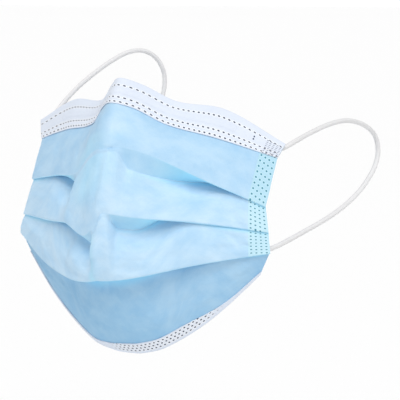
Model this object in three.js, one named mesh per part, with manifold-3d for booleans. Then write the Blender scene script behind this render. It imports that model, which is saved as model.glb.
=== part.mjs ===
// Pleated face mask in its worn form, millimetres, +Z up, the outer face towards -Y.
// The origin lies on the inner face of the nose band, halfway down it, at the bridge of the nose.
import * as THREE from "three";
import Module from "manifold-3d";
import { mergeVertices } from "three/addons/utils/BufferGeometryUtils.js";

// Driving sizes
const halfWidth = 80;        // bridge of the nose to the outer edge of a side, straight across
const faceDepth = 65;        // fullest fold to the top corners, front to back
const maskDrop = 149;        // top edge at the nose to the hem at the chin
const clothWall = 1.0;       // one layer of the nonwoven cloth
const layerGap = 0.4;        // air between two folded layers
const pleatDepth = 10.0;     // cloth tucked behind each pleat's edge
const bandBack = 7.0;        // the white band's turn-over behind the top edge
const hemHeight = 6.0;       // the white hem in front
const hemBack = 6.0;         // the white hem behind
const edgeClearance = 1.2;   // air between the blue cloth's edge and the white fold over it
const weldWidth = 9.5;       // the welded strip down each side
const weldBite = 0.3;        // how deep the welded strip is fused into the layers it joins
const weldClearance = 1.0;   // the strip stops this far from the band and the hem
const cordDiameter = 2.6;    // round elastic cord of the ear loops
const foldShare = 0.45;      // how wide a folded strip's edge is, as a share of its legs' spacing

// Sizes that follow
const layerPitch = clothWall + layerGap;
const edgeTuck = clothWall + edgeClearance;
const weldThickness = 2 * layerPitch - clothWall + 2 * weldBite;

// Facets
const acrossSteps = 44;      // from side to side
const weldSteps = 3;         // across a welded strip
const legSteps = 3;          // down a folded strip's front leg
const cordSides = 8;
const cordSteps = 44;        // along each ear loop
const probeStep = 0.01;      // the step, as a share, that a direction is taken over
const foldProbe = 0.16;      // the same for a pleat's tucked layer, which turns less sharply at the ridge
const sharpestMitre = -0.5;  // cosine of the sharpest turn that a wall's corner is mitred for
const mergeDistance = 1e-4;  // points this near are one

// Places across one half, from the ridge to the side, as shares of the half width
const stations = [0, 0.12, 0.3, 0.62, 1];

// Lines across the mask, top to bottom. back and up are shares of faceDepth and maskDrop at the
// five stations and upRight is up on the wearer's right half. out and outRight are where the line
// ends at each side, as shares of halfWidth. crown swells the cloth below by a share of faceDepth.
const lines = [
  { name: "bandTop", out: 1.00, outRight: 1.00, crown: 0.00,
    back: [0.062, 0.165, 0.320, 0.460, 0.606],
    up: [0.043, 0.018, -0.040, -0.068, -0.156],
    upRight: [0.043, 0.018, -0.045, -0.052, -0.137] },
  { name: "bandLow", out: 0.96, outRight: 0.93, crown: 0.03,
    back: [-0.063, 0.028, 0.176, 0.330, 0.500],
    up: [-0.044, -0.063, -0.121, -0.167, -0.233],
    upRight: [-0.044, -0.063, -0.131, -0.160, -0.205] },
  { name: "pleat1", out: 0.98, outRight: 0.94, crown: 0.03,
    back: [-0.210, -0.159, -0.056, 0.150, 0.362],
    up: [-0.201, -0.194, -0.221, -0.306, -0.397],
    upRight: [-0.201, -0.205, -0.248, -0.345, -0.385] },
  { name: "pleat2", out: 1.01, outRight: 1.01, crown: 0.04,
    back: [-0.343, -0.294, -0.206, 0.044, 0.347],
    up: [-0.415, -0.425, -0.437, -0.451, -0.486],
    upRight: [-0.415, -0.450, -0.470, -0.480, -0.486] },
  { name: "pleat3", out: 1.03, outRight: 1.03, crown: 0.05,
    back: [-0.281, -0.247, -0.174, 0.018, 0.334],
    up: [-0.666, -0.662, -0.644, -0.599, -0.558],
    upRight: [-0.666, -0.677, -0.676, -0.636, -0.558] },
  { name: "hem", out: 0.94, outRight: 0.93, crown: 0.00,
    back: [0.163, 0.165, 0.179, 0.232, 0.360],
    up: [-0.953, -0.945, -0.904, -0.792, -0.640],
    upRight: [-0.953, -0.942, -0.890, -0.765, -0.640] },
];

// How far each pleat is pulled open, 0 shut and 1 flat, at the five stations of each half
const pleatOpening = {
  pleat1: { right: [0.90, 0.91, 0.88, 0.30, 0.00], left: [0.90, 0.86, 0.80, 0.36, 0.00] },
  pleat2: { right: [0.82, 0.82, 0.66, 0.06, 0.00], left: [0.82, 0.78, 0.58, 0.08, 0.00] },
  pleat3: { right: [0.62, 0.62, 0.55, 0.30, 0.05], left: [0.62, 0.62, 0.55, 0.30, 0.05] },
};

// Soft dents between two lines: across and spread are shares of the half width, from and to are
// shares of the way down, and depth is a share of faceDepth, below zero where the cloth stands out.
const dents = [
  { below: "pleat2", across: -0.03, spread: 0.07, from: -0.1, to: 1.0, depth: 0.040 },
  { below: "pleat2", across: -0.25, spread: 0.12, from: 0.0, to: 1.0, depth: -0.035 },
];

// The ear loops' centre lines, millimetres, from the seat inside each top corner to the lower one
const loopRoutes = {
  ear_loop_left: [
    [69.6, 32.8, -31.6], [73.3, 35.1, -31.3], [77.1, 38.6, -30.6], [79.8, 43, -28.8],
    [80.6, 49.4, -26.8], [81, 57, -24.9], [81.4, 65.5, -22.9], [82.2, 75.5, -20.7], [83, 86.5, -19],
    [83.8, 95.5, -18.3], [84.3, 104.5, -18.8], [85, 113.5, -20.6], [85.5, 121.5, -23.4],
    [86, 128.1, -27.4], [86.2, 131.7, -32.6], [86.2, 132.5, -38.6], [86, 129.9, -45],
    [85.4, 123.5, -51.8], [84.8, 114.5, -58], [84, 103, -63.6], [83, 90.5, -68.2], [82, 77, -72],
    [81, 63, -75.2], [80.2, 50, -78], [79.8, 39.5, -80], [79.4, 32, -81.3], [77.9, 26.7, -82.3],
    [74.4, 23.6, -82.8], [70.4, 21.3, -83.4],
  ],
  ear_loop_right: [
    [-68.8, 37.3, -21.1], [-72.3, 38.5, -22.1], [-75.2, 40.9, -21.6], [-76, 44.5, -18.4],
    [-75, 48.9, -13.8], [-73, 53.5, -8.6], [-70.4, 59.1, -3], [-67, 65.1, 2.4], [-63.2, 72.5, 8],
    [-60, 78.9, 12.2], [-57, 85.1, 15.6], [-54.2, 91.5, 17.7], [-51.6, 97.1, 18],
    [-49.4, 101.9, 16.6], [-47.4, 106.3, 13.6], [-45.8, 109.5, 9], [-45, 111.5, 3.4],
    [-45, 111.5, -3.6], [-46.2, 108.9, -13], [-48.8, 103.1, -24], [-52.6, 94.5, -35.6],
    [-57.2, 83.9, -47], [-62.4, 71.9, -57.4], [-67.8, 59.5, -66.4], [-73, 47.5, -73.6],
    [-77, 37.9, -78.6], [-78.9, 31.5, -81.2], [-77.7, 26.6, -82.5], [-74.2, 23.5, -83.6],
    [-70.2, 21.1, -84.8],
  ],
};

// Facets down each panel, named by the line that it starts from
const panelSteps = { bandTop: 2, bandLow: 4, pleat1: 3, pleat2: 4, pleat3: 5 };
const shutFrom = 0.5;        // a pleat that turns back by less than this share of half a turn is open

// A smooth curve through one value for each station
function throughStations(values, share) {
  const across = Math.abs(share);
  let i = 0;
  while (i < stations.length - 2 && across > stations[i + 1]) i += 1;
  const slope = (k) => {
    if (k === 0) return 0;
    if (k === stations.length - 1) return (values[k] - values[k - 1]) / (stations[k] - stations[k - 1]);
    return (values[k + 1] - values[k - 1]) / (stations[k + 1] - stations[k - 1]);
  };
  const span = stations[i + 1] - stations[i];
  const t = (across - stations[i]) / span;
  const start = values[i] * (2 * t ** 3 - 3 * t ** 2 + 1) + slope(i) * span * (t ** 3 - 2 * t ** 2 + t);
  const end = values[i + 1] * (3 * t ** 2 - 2 * t ** 3) + slope(i + 1) * span * (t ** 3 - t ** 2);
  return start + end;
}

// A line's point at a share across, -1 at the wearer's right and 1 at the wearer's left
function onLine(line, share) {
  const across = Math.abs(share);
  const sideShare = share < 0 ? line.outRight : line.out;
  const widening = 1 + (sideShare - 1) * across ** 2;
  const heights = share < 0 ? line.upRight : line.up;
  const x = share * halfWidth * widening;
  const y = throughStations(line.back, share) * faceDepth - clothWall / 2;
  const z = throughStations(heights, share) * maskDrop;
  return new THREE.Vector3(x, y, z);
}

// Directions at a line's point: down along the cloth and inward to the face
function directionsAt(index, share, step = probeStep) {
  const before = onLine(lines[index], Math.max(-1, share - step));
  const after = onLine(lines[index], Math.min(1, share + step));
  const across = after.sub(before).normalize();
  const above = onLine(lines[Math.max(0, index - 1)], share);
  const below = onLine(lines[Math.min(lines.length - 1, index + 1)], share);
  const down = below.sub(above).normalize();
  const inward = new THREE.Vector3().crossVectors(across, down).normalize();
  down.crossVectors(inward, across).normalize();
  return { down, inward };
}

// How far a pleat turns back, 0 flat and half a turn shut
function pleatTurn(index, share) {
  const { right, left } = pleatOpening[lines[index].name];
  const opening = throughStations(share < 0 ? right : left, share);
  return (1 - Math.min(1, Math.max(0, opening))) * Math.PI;
}

// 0 where a line has no pleat or an open one, 1 where its pleat is shut
function shutness(index, share) {
  if (!(lines[index].name in pleatOpening)) return 0;
  return THREE.MathUtils.smoothstep(pleatTurn(index, share) / Math.PI, shutFrom, 1);
}

// Where the cloth below a line comes out from under its shut pleat, level with the pleat's edge
function landingAt(index, share) {
  const lift = 2 * layerPitch * shutness(index, share);
  return onLine(lines[index], share).addScaledVector(directionsAt(index, share).inward, lift);
}

// The pleat's section at one share across: its edge, the tucked layer and where the cloth goes on.
// A shut pleat's tucked layer lies along the cloth that covers it.
function pleatSection(index, share) {
  const turn = pleatTurn(index, share);
  const open = directionsAt(index, share, foldProbe);
  const shut = directionsAt(index, share, foldProbe);
  const cover = onLine(lines[index], share).sub(landingAt(index - 1, share)).normalize();
  const across = new THREE.Vector3().crossVectors(open.down, open.inward);
  shut.down.copy(cover).addScaledVector(across, -cover.dot(across)).normalize();
  shut.inward.crossVectors(across, shut.down).normalize();
  const down = open.down.clone().lerp(shut.down, shutness(index, share)).normalize();
  const inward = open.inward.clone().lerp(shut.inward, shutness(index, share)).normalize();
  const heading = (angle, length) => down.clone().multiplyScalar(Math.cos(angle) * length)
    .addScaledVector(inward, Math.sin(angle) * length);
  const edge = onLine(lines[index], share);
  const edgeBack = edge.clone().add(heading(turn / 2, layerPitch));
  const tuck = edgeBack.clone().add(heading(turn, pleatDepth));
  const tuckBack = tuck.clone().add(heading(turn / 2, layerPitch));
  return [edge, edgeBack, tuck, tuckBack];
}

// Both ends of the cloth between one line and the next
function panelEnds(index, share) {
  const line = lines[index];
  const start = line.name in pleatOpening ? pleatSection(index, share)[3] : onLine(line, share);
  return [start, onLine(lines[index + 1], share)];
}

// How much of a panel, from its top, lies under the pleat above it where that is shut
function hiddenPart(index, share) {
  if (!(lines[index].name in pleatOpening)) return 0;
  return pleatDepth / (pleatDepth + landingAt(index, share).distanceTo(onLine(lines[index + 1], share)));
}

// A dent's depth at a place on its panel
function dentDepth(index, share, t) {
  return dents.filter((dent) => dent.below === lines[index].name).reduce((sum, dent) => {
    const along = THREE.MathUtils.clamp((t - dent.from) / (dent.to - dent.from), 0, 1);
    return sum + dent.depth * faceDepth * Math.sin(Math.PI * along) ** 2
      * Math.exp(-(((share - dent.across) / dent.spread) ** 2));
  }, 0);
}

// A point of a panel, t from 0 at its top to 1 at its lower line
function panelPoint(index, share, t) {
  const [start, end] = panelEnds(index, share);
  const { inward } = directionsAt(index, share);
  const shut = shutness(index, share);
  const hidden = hiddenPart(index, share);
  const bend = start.clone().lerp(end, hidden).lerp(landingAt(index, share), shut);
  const point = t < hidden
    ? start.lerp(bend, t / hidden)
    : bend.lerp(end, (t - hidden) / (1 - hidden));
  const free = Math.max(0, (t - hidden * shut) / (1 - hidden * shut));
  const swell = lines[index].crown * faceDepth * 4 * free * (1 - free) * (1 - share ** 2);
  return point.addScaledVector(inward, dentDepth(index, share, free) - swell);
}

// The inward normal of a panel at one of its points
function panelInward(index, share, t) {
  const across = panelPoint(index, Math.min(1, share + probeStep), t)
    .sub(panelPoint(index, Math.max(-1, share - probeStep), t));
  const along = panelPoint(index, share, Math.min(1, t + probeStep))
    .sub(panelPoint(index, share, Math.max(0, t - probeStep)));
  return across.cross(along).normalize();
}

// One column of the blue cloth, from under the band down to inside the hem
function bodyColumn(share) {
  const column = [];
  for (let index = 0; index < lines.length - 1; index += 1) {
    const [start, end] = panelEnds(index, share);
    const length = start.distanceTo(end);
    const from = index === 0 ? edgeTuck / length : 0;
    const to = index === lines.length - 2 ? 1 - edgeTuck / length : 1;
    const steps = panelSteps[lines[index].name];
    const hidden = hiddenPart(index, share);
    if (hidden > 0) column.push(panelPoint(index, share, hidden));
    const top = Math.max(from, hidden);
    for (let step = column.length ? 1 : 0; step <= steps; step += 1) {
      column.push(panelPoint(index, share, top + (to - top) * step / steps));
    }
    if (lines[index + 1].name in pleatOpening) column.push(...pleatSection(index + 1, share).slice(1));
  }
  return column;
}

// A closed solid of even thickness round a grid of points, columns[across][down]
function sheetSolid(columns, thickness) {
  const wide = columns.length;
  const tall = columns[0].length;
  const faceNormal = (across, along) => new THREE.Vector3().crossVectors(across, along).normalize();
  const positions = [];
  for (const side of [1, -1]) {
    for (let i = 0; i < wide; i += 1) {
      for (let j = 0; j < tall; j += 1) {
        const here = columns[i][j];
        const across = columns[Math.min(i + 1, wide - 1)][j].clone().sub(columns[Math.max(i - 1, 0)][j]);
        const before = j > 0 ? here.clone().sub(columns[i][j - 1]) : columns[i][1].clone().sub(here);
        const after = j < tall - 1 ? columns[i][j + 1].clone().sub(here) : before.clone();
        const first = faceNormal(across, before);
        const second = faceNormal(across, after);
        const mitre = first.clone().add(second).divideScalar(1 + Math.max(sharpestMitre, first.dot(second)));
        const point = here.clone().addScaledVector(mitre, -side * thickness / 2);
        positions.push(point.x, point.y, point.z);
      }
    }
  }
  const faces = [];
  const at = (i, j, side) => (side > 0 ? 0 : wide * tall) + i * tall + j;
  const quad = (a, b, c, d) => faces.push(a, b, c, a, c, d);
  for (let i = 0; i < wide - 1; i += 1) {
    for (let j = 0; j < tall - 1; j += 1) {
      quad(at(i, j, 1), at(i, j + 1, 1), at(i + 1, j + 1, 1), at(i + 1, j, 1));
      quad(at(i, j, -1), at(i + 1, j, -1), at(i + 1, j + 1, -1), at(i, j + 1, -1));
    }
    quad(at(i, 0, 1), at(i + 1, 0, 1), at(i + 1, 0, -1), at(i, 0, -1));
    quad(at(i, tall - 1, 1), at(i, tall - 1, -1), at(i + 1, tall - 1, -1), at(i + 1, tall - 1, 1));
  }
  for (let j = 0; j < tall - 1; j += 1) {
    quad(at(0, j, 1), at(0, j, -1), at(0, j + 1, -1), at(0, j + 1, 1));
    quad(at(wide - 1, j, 1), at(wide - 1, j + 1, 1), at(wide - 1, j + 1, -1), at(wide - 1, j, -1));
  }
  const geometry = new THREE.BufferGeometry();
  geometry.setAttribute("position", new THREE.Float32BufferAttribute(positions, 3));
  geometry.setIndex(faces);
  return geometry;
}

function sharesAcross(from, to, steps) {
  return Array.from({ length: steps + 1 }, (_, i) => from + (to - from) * i / steps);
}

// The columns from side to side, with one at each edge of the welded strips
const weldFrom = 1 - weldWidth / halfWidth;
const columnShares = [
  ...sharesAcross(-1, -weldFrom, weldSteps).slice(0, -1),
  ...sharesAcross(-weldFrom, weldFrom, acrossSteps - 2 * weldSteps),
  ...sharesAcross(weldFrom, 1, weldSteps).slice(1),
];

const wasm = await Module();
wasm.setup();

function toSolid(geometry) {
  const plain = geometry.clone();
  plain.deleteAttribute("normal");
  plain.deleteAttribute("uv");
  const merged = mergeVertices(plain, mergeDistance);
  return new wasm.Manifold(new wasm.Mesh({
    numProp: 3,
    vertProperties: Float32Array.from(merged.attributes.position.array),
    triVerts: Uint32Array.from(merged.index.array),
  }));
}

function toGeometry(solid) {
  const mesh = solid.getMesh();
  const geometry = new THREE.BufferGeometry();
  geometry.setAttribute("position", new THREE.BufferAttribute(mesh.vertProperties.slice(), 3));
  geometry.setIndex(Array.from(mesh.triVerts));
  return geometry;
}

// The welded strip down one side, through the middle of the folded layers
function weldStrip(sign) {
  const last = lines.length - 2;
  const columns = sharesAcross(weldFrom, 1, weldSteps).map((across) => {
    const share = sign * across;
    const lengthOf = (index) => {
      const [start, end] = panelEnds(index, share);
      return start.distanceTo(end);
    };
    const behind = (index, t) => panelPoint(index, share, t)
      .addScaledVector(panelInward(index, share, t), layerPitch / 2);
    const onFold = (index) => onLine(lines[index], share)
      .addScaledVector(directionsAt(index, share).inward, layerPitch);
    const corners = [behind(1, weldClearance / lengthOf(1))];
    for (let index = 2; index <= last; index += 1) corners.push(onFold(index));
    corners.push(behind(last, 1 - (hemHeight + weldClearance) / lengthOf(last)));
    return corners.flatMap((corner, i) => (
      i === 0 ? [corner] : [corners[i - 1].clone().lerp(corner, 0.5), corner]));
  });
  if (sign < 0) columns.reverse();
  return sheetSolid(columns, weldThickness);
}

function bodyGeometry() {
  const cloth = sheetSolid(columnShares.map(bodyColumn), clothWall);
  let solid = toSolid(cloth);
  for (const sign of [-1, 1]) solid = solid.add(toSolid(weldStrip(sign)));
  return toGeometry(solid);
}

// A strip folded round the top or bottom edge of the cloth: a leg in front, the fold, a leg behind
function foldedStrip(index, atBottom, frontHeight, backHeight) {
  const columns = columnShares.map((share) => {
    const [start, end] = panelEnds(index, share);
    const length = start.distanceTo(end);
    const place = (distance, offset) => {
      const t = atBottom ? 1 - distance / length : distance / length;
      return panelPoint(index, share, t).addScaledVector(panelInward(index, share, t), offset);
    };
    const front = sharesAcross(frontHeight ?? length, layerPitch, legSteps)
      .map((distance) => place(distance, -layerPitch));
    const fold = [place(0, -layerPitch * foldShare), place(0, layerPitch * foldShare)];
    const back = [place(layerPitch, layerPitch), place(backHeight, layerPitch)];
    const column = [...front, ...fold, ...back];
    return atBottom ? column : column.reverse();
  });
  return sheetSolid(columns, clothWall);
}

// A round cord along one of the routes
function cordGeometry(route) {
  const points = route.map((point) => new THREE.Vector3(...point));
  const path = new THREE.CatmullRomCurve3(points, false, "centripetal");
  const section = new THREE.Shape();
  for (let side = 0; side < cordSides; side += 1) {
    const angle = 2 * Math.PI * side / cordSides;
    const corner = [Math.cos(angle) * cordDiameter / 2, Math.sin(angle) * cordDiameter / 2];
    if (side === 0) section.moveTo(...corner);
    else section.lineTo(...corner);
  }
  section.closePath();
  return new THREE.ExtrudeGeometry(section, { steps: cordSteps, extrudePath: path, bevelEnabled: false });
}

const bandCloth = new THREE.MeshStandardMaterial({ name: "white_nonwoven", color: 0xeceffa, roughness: 0.9 });
const blueCloth = new THREE.MeshStandardMaterial({ name: "blue_nonwoven", color: 0xb5dcf5, roughness: 0.9 });
const elastic = new THREE.MeshStandardMaterial({ name: "white_elastic", color: 0xf4f4f4, roughness: 0.8 });

function piece(name, geometry, material) {
  const mesh = new THREE.Mesh(geometry, material);
  mesh.name = name;
  return mesh;
}

const mask = new THREE.Group();
mask.name = "face_mask";
mask.add(piece("body", bodyGeometry(), blueCloth));
mask.add(piece("nose_band", foldedStrip(0, false, null, bandBack), bandCloth));
mask.add(piece("bottom_hem", foldedStrip(lines.length - 2, true, hemHeight, hemBack), bandCloth));
for (const [name, route] of Object.entries(loopRoutes)) mask.add(piece(name, cordGeometry(route), elastic));

export default mask;
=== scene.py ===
import bpy
import math
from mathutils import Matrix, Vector, noise


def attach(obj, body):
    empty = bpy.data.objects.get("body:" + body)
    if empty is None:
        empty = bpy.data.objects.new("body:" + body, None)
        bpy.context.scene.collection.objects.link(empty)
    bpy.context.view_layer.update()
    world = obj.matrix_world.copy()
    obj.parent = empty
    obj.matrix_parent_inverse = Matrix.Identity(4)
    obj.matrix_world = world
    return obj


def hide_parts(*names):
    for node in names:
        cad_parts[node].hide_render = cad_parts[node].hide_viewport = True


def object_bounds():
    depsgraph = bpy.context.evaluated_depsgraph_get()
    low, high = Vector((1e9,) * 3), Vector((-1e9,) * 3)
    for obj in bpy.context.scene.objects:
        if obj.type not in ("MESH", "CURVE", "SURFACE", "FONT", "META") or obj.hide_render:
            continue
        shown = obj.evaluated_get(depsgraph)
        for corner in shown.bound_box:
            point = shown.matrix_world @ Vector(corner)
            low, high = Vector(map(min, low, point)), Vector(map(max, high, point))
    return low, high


# A pleated face mask in its worn form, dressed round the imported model. Lengths are millimetres,
# and mm turns them into metres. The mask faces -Y and +X is the wearer's left.
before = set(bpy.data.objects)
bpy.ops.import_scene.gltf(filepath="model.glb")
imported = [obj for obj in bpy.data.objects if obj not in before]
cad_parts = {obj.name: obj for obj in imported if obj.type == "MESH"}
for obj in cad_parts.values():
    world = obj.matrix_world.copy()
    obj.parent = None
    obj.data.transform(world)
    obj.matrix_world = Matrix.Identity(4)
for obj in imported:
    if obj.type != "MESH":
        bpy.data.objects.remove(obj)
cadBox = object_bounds()
bpy.ops.object.select_all(action="DESELECT")
mm = 0.001

# Camera, at the photograph's angle
camera = {
    "azimuth": 33,
    "elevation": 6,
    "distance": 1050,
    "target": (46.5, 9.2, -56.5),
    "lens": 180,
    "sensor": 36,
    "clipEnd": 50,  # metres
}


# The way out from the mask at an azimuth, which turns from its front to the wearer's left
def wayOut(azimuth, elevation):
    azimuth = math.radians(azimuth)
    elevation = math.radians(elevation)
    return Vector((
        math.sin(azimuth) * math.cos(elevation),
        -math.cos(azimuth) * math.cos(elevation),
        math.sin(elevation),
    ))


# A camera or a sun looks along its own -Z, so its +Z goes the way out
def lookIn(thing, out):
    thing.rotation_euler = out.to_track_quat("Z", "Y").to_euler()


def placeCamera():
    out = wayOut(camera["azimuth"], camera["elevation"])
    bpy.ops.object.camera_add(location=(Vector(camera["target"]) + out * camera["distance"]) * mm)
    eye = bpy.context.object
    eye.name = "photoCamera"
    lookIn(eye, out)
    eye.data.lens = camera["lens"]
    eye.data.sensor_width = camera["sensor"]
    eye.data.clip_end = camera["clipEnd"]
    bpy.context.scene.camera = eye


placeCamera()
print("camera placed")


# Small tools
def clamped(value, low=0.0, high=1.0):
    return min(high, max(low, value))


def smoothBetween(low, high, value):
    t = clamped((value - low) / (high - low))
    return t * t * (3 - 2 * t)


def mixed(a, b, t):
    return a + (b - a) * t


def spread(start, end, steps):
    return [start + (end - start) * i / steps for i in range(steps + 1)]


def inOne(columns):
    return [value for column in columns for value in column]


# Faces between neighbouring columns of a grid. A closed one joins each column's last row to its first.
def gridFaces(columnCount, rowCount, closed=False):
    faces = []
    for i in range(columnCount - 1):
        for j in range(rowCount if closed else rowCount - 1):
            a = i * rowCount + j
            b = i * rowCount + (j + 1) % rowCount
            faces.append((a, b, b + rowCount, a + rowCount))
    return faces


# A piece from points in millimetres, with a UV map for each list of places that goes with them
def makePiece(name, points, faces, **maps):
    mesh = bpy.data.meshes.new(name)
    mesh.from_pydata([tuple(p * mm) for p in points], [], faces)
    mesh.update()
    for mapName, places in maps.items():
        layer = mesh.uv_layers.new(name=mapName)
        for loop in mesh.loops:
            u, v = places[loop.vertex_index]
            layer.data[loop.index].uv = (u * mm, v * mm)
    piece = bpy.data.objects.new(name, mesh)
    bpy.context.scene.collection.objects.link(piece)
    bpy.ops.object.select_all(action="DESELECT")
    bpy.context.view_layer.objects.active = piece
    piece.select_set(True)
    bpy.ops.object.shade_smooth()
    return piece


def declarePiece(piece, node):
    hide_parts(node)
    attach(piece, "root")
    print(piece.name, len(piece.data.polygons), "faces")


# Shader tools
def newGroup(name, inputs, outputs):
    group = bpy.data.node_groups.new(name, "ShaderNodeTree")
    for socketName, kind, value in inputs:
        socket = group.interface.new_socket(name=socketName, in_out="INPUT", socket_type="NodeSocket" + kind)
        if value is not None:
            socket.default_value = value
    for socketName, kind in outputs:
        group.interface.new_socket(name=socketName, in_out="OUTPUT", socket_type="NodeSocket" + kind)
    inside = group.nodes.new("NodeGroupInput").outputs
    outside = group.nodes.new("NodeGroupOutput").inputs
    return group, inside, outside


def fillSocket(tree, socket, value):
    if isinstance(value, bpy.types.NodeSocket):
        tree.links.new(value, socket)
    else:
        socket.default_value = value


# A node with its settings and its inputs by name, with an underscore where the name has a space
def addNode(tree, kind, settings=None, **inputs):
    node = tree.nodes.new(kind)
    for key, value in (settings or {}).items():
        setattr(node, key, value)
    for key, value in inputs.items():
        fillSocket(tree, node.inputs[key.replace("_", " ")], value)
    return node


def addGroup(tree, group, **inputs):
    return addNode(tree, "ShaderNodeGroup", {"node_tree": group}, **inputs)


# One Math node, or a chain of them where more than two values are joined
def addMath(tree, operation, result, *others):
    for other in others or (0.0,):
        node = addNode(tree, "ShaderNodeMath", {"operation": operation})
        fillSocket(tree, node.inputs[0], result)
        fillSocket(tree, node.inputs[1], other)
        result = node.outputs[0]
    return result


def addMix(tree, factor, a, b, blend="MIX"):
    node = addNode(tree, "ShaderNodeMix", {"data_type": "RGBA", "blend_type": blend})
    for index, value in ((0, factor), (6, a), (7, b)):
        fillSocket(tree, node.inputs[index], value)
    return node.outputs[2]


def addRange(tree, value, low, high, fromLow=0.0, fromHigh=1.0, shape="LINEAR"):
    node = addNode(tree, "ShaderNodeMapRange", {"clamp": True, "interpolation_type": shape}, Value=value,
                   From_Min=low, From_Max=high, To_Min=fromLow, To_Max=fromHigh)
    return node.outputs[0]


def addSplit(tree, place):
    return addNode(tree, "ShaderNodeSeparateXYZ", Vector=place).outputs


def addMapping(tree, place, **changes):
    return addNode(tree, "ShaderNodeMapping", Vector=place, **changes).outputs[0]


def addNoise(tree, place, scale, **more):
    return addNode(tree, "ShaderNodeTexNoise", Vector=place, Scale=scale, **more).outputs[0]


# A place on one of the piece's own maps, in millimetres
def placeOnMap(tree, mapName):
    place = addNode(tree, "ShaderNodeUVMap", {"uv_map": mapName})
    return addMapping(tree, place.outputs[0], Scale=(1 / mm, 1 / mm, 1))


def addBump(tree, shader, height, distance, strength):
    bump = addNode(tree, "ShaderNodeBump", Height=height, Distance=distance * mm, Strength=strength)
    tree.links.new(bump.outputs[0], shader.inputs["Normal"])


def addColor(tree, shader, color):
    tree.links.new(color, shader.inputs["Base Color"])


def newMaterial(name, finish):
    material = bpy.data.materials.new(name)
    material.use_nodes = True
    shader = material.node_tree.nodes["Principled BSDF"]
    for socketName, value in finish.items():
        shader.inputs[socketName].default_value = value
    return material, material.node_tree, shader


clothColors = {
    "blue": (0.550, 0.730, 0.880, 1),
    "blueDeep": (0.415, 0.635, 0.835, 1),
    # Painted colours: a tint that multiplies in painted shade, and a saturated blue painted shadow for shut
    # pleats, the cloth just below them and the hollows beside the ridge
    "shadeTint": (0.60, 0.765, 0.865, 1),
    "tucked": (0.35, 0.78, 1.00, 1),
    "welded": (0.53, 0.755, 0.855, 1),
    "weldedDeep": (0.44, 0.68, 0.82, 1),
    "white": (0.70, 0.755, 0.850, 1),
    "whiteDeep": (0.62, 0.69, 0.815, 1),
    # The dots' dark colours are partly the weld's own film and partly painted shade in the pits
    "dotOnWhite": (0.07, 0.09, 0.15, 1),
    "dotOnBlue": (0.08, 0.27, 0.37, 1),
    "rimOnWhite": (0.90, 0.92, 0.94, 1),
    "rimOnBlue": (0.60, 0.84, 0.90, 1),
    "elastic": (0.93, 0.93, 0.93, 1),
    # The deeper elastic colour is painted shade in the knit's grooves
    "elasticGrooveShade": (0.66, 0.66, 0.67, 1),
}

# The finish of all the cloth, and how deep its relief is
fabric = {
    "finish": {"Roughness": 0.85, "Specular IOR Level": 0.2, "Sheen Weight": 0.15, "Sheen Roughness": 0.5},
    "innerFinish": {"Roughness": 0.9, "Specular IOR Level": 0.2},
    "mottle": {"blueNonwoven": 0.9, "innerNonwoven": 0.3, "edge": 0.35, "welded": 0.4},
    "strength": 0.7,
    "felt": 0.06,
    "weld": 0.12,
    "feltShare": 0.5,
    "rimShare": {"White": 0.8, "Blue": 0.5},
}

# Spunbond cloth: long clouds of deeper colour, fine fibres in three directions and a lattice of
# tiny bond points. A fibre's row is its angle and its scale.
spunbond = {
    "cloudStretch": (0.95, 1.2, 1),
    "cloudScale": 0.08,
    "cloudRange": (0.35, 0.68),
    "fibres": ((0.35, 1.0), (1.9, 1.15), (2.8, 0.9)),
    "fibreStretch": (0.55, 5.5),
    "fibreTint": 0.9,
    "bondPitch": 1.5,
    "bondTurn": 45,
    "bondRange": (1.1, 1.7),
    "bondTint": 0.10,
    "bondSink": 0.35,
}

# Weld dots. A row is its place down from the edge, its shift along and its slant. middle is the
# middle of the mask along the edge. The hem's dots run hemReach each way from hemMiddle. The edges
# are where a dot and its rim fade, in half sizes of the dot, on the surface and in the relief.
weldRows = {
    "pitch": 3.0,
    "halfLength": 0.72,
    "halfWidth": 0.46,
    "band": ((4.4, 0.0, -0.35), (11.6, 0.9, -0.35), (14.3, 2.2, -0.35)),
    "hem": ((2.2, 0.0, 0.35), (3.9, 1.5, 0.35), (5.6, 0.4, 0.35)),
    "middle": 100.0,
    "hemMiddle": 127.0,
    "hemReach": 40.0,
    "hemFade": 12.0,
    "dotEdge": (0.75, 1.25),
    "rimEdge": (1.2, 2.3),
    "depth": 0.2,
    "pressedEdge": (0.6, 1.4),
    "rimHeight": 0.07,
    "rimFoot": (0.9, 1.6),
    "rimOuter": (1.6, 2.8),
}
weldStrip = {
    "columns": (1.4, 3.5, 5.6, 7.7),
    "pitch": 2.75,
    "shift": 0.25,
    "slant": 0.1,
    "halfLength": 0.46,
    "halfWidth": 0.46,
    "ends": 120.0,
}

# Where the loop's end is welded on, the band's corner is closely hatched. A double dash marks the
# wearer's left end of the nose wire, with a pitch so long that it shows once.
cornerHatch = {
    "from": 83.0,
    "below": 4.6,
    "rowPitch": 1.45,
    "pitch": 1.9,
    "slant": 0.9,
    "halfLength": 0.62,
    "halfWidth": 0.26,
    "strength": 0.75,
}
wireMark = {"across": 176.0, "rows": (7.0, 8.7), "halfLength": 0.42, "halfWidth": 0.6, "pitch": 400.0}

# The loops' knit: two sets of slanting ribs that cross, and a little fuzz. The grooves between the
# ribs take painted shade, and the fuzz a random tone.
elasticKnit = {
    "finish": {"Roughness": 0.8, "Specular IOR Level": 0.25},
    "ribsAcross": (7.68, -7.68),
    "ribsAlong": 7.4,
    "fuzzScale": 2.2,
    "fuzzShare": 0.5,
    "depth": 0.15,
    "strength": 0.6,
}


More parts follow.
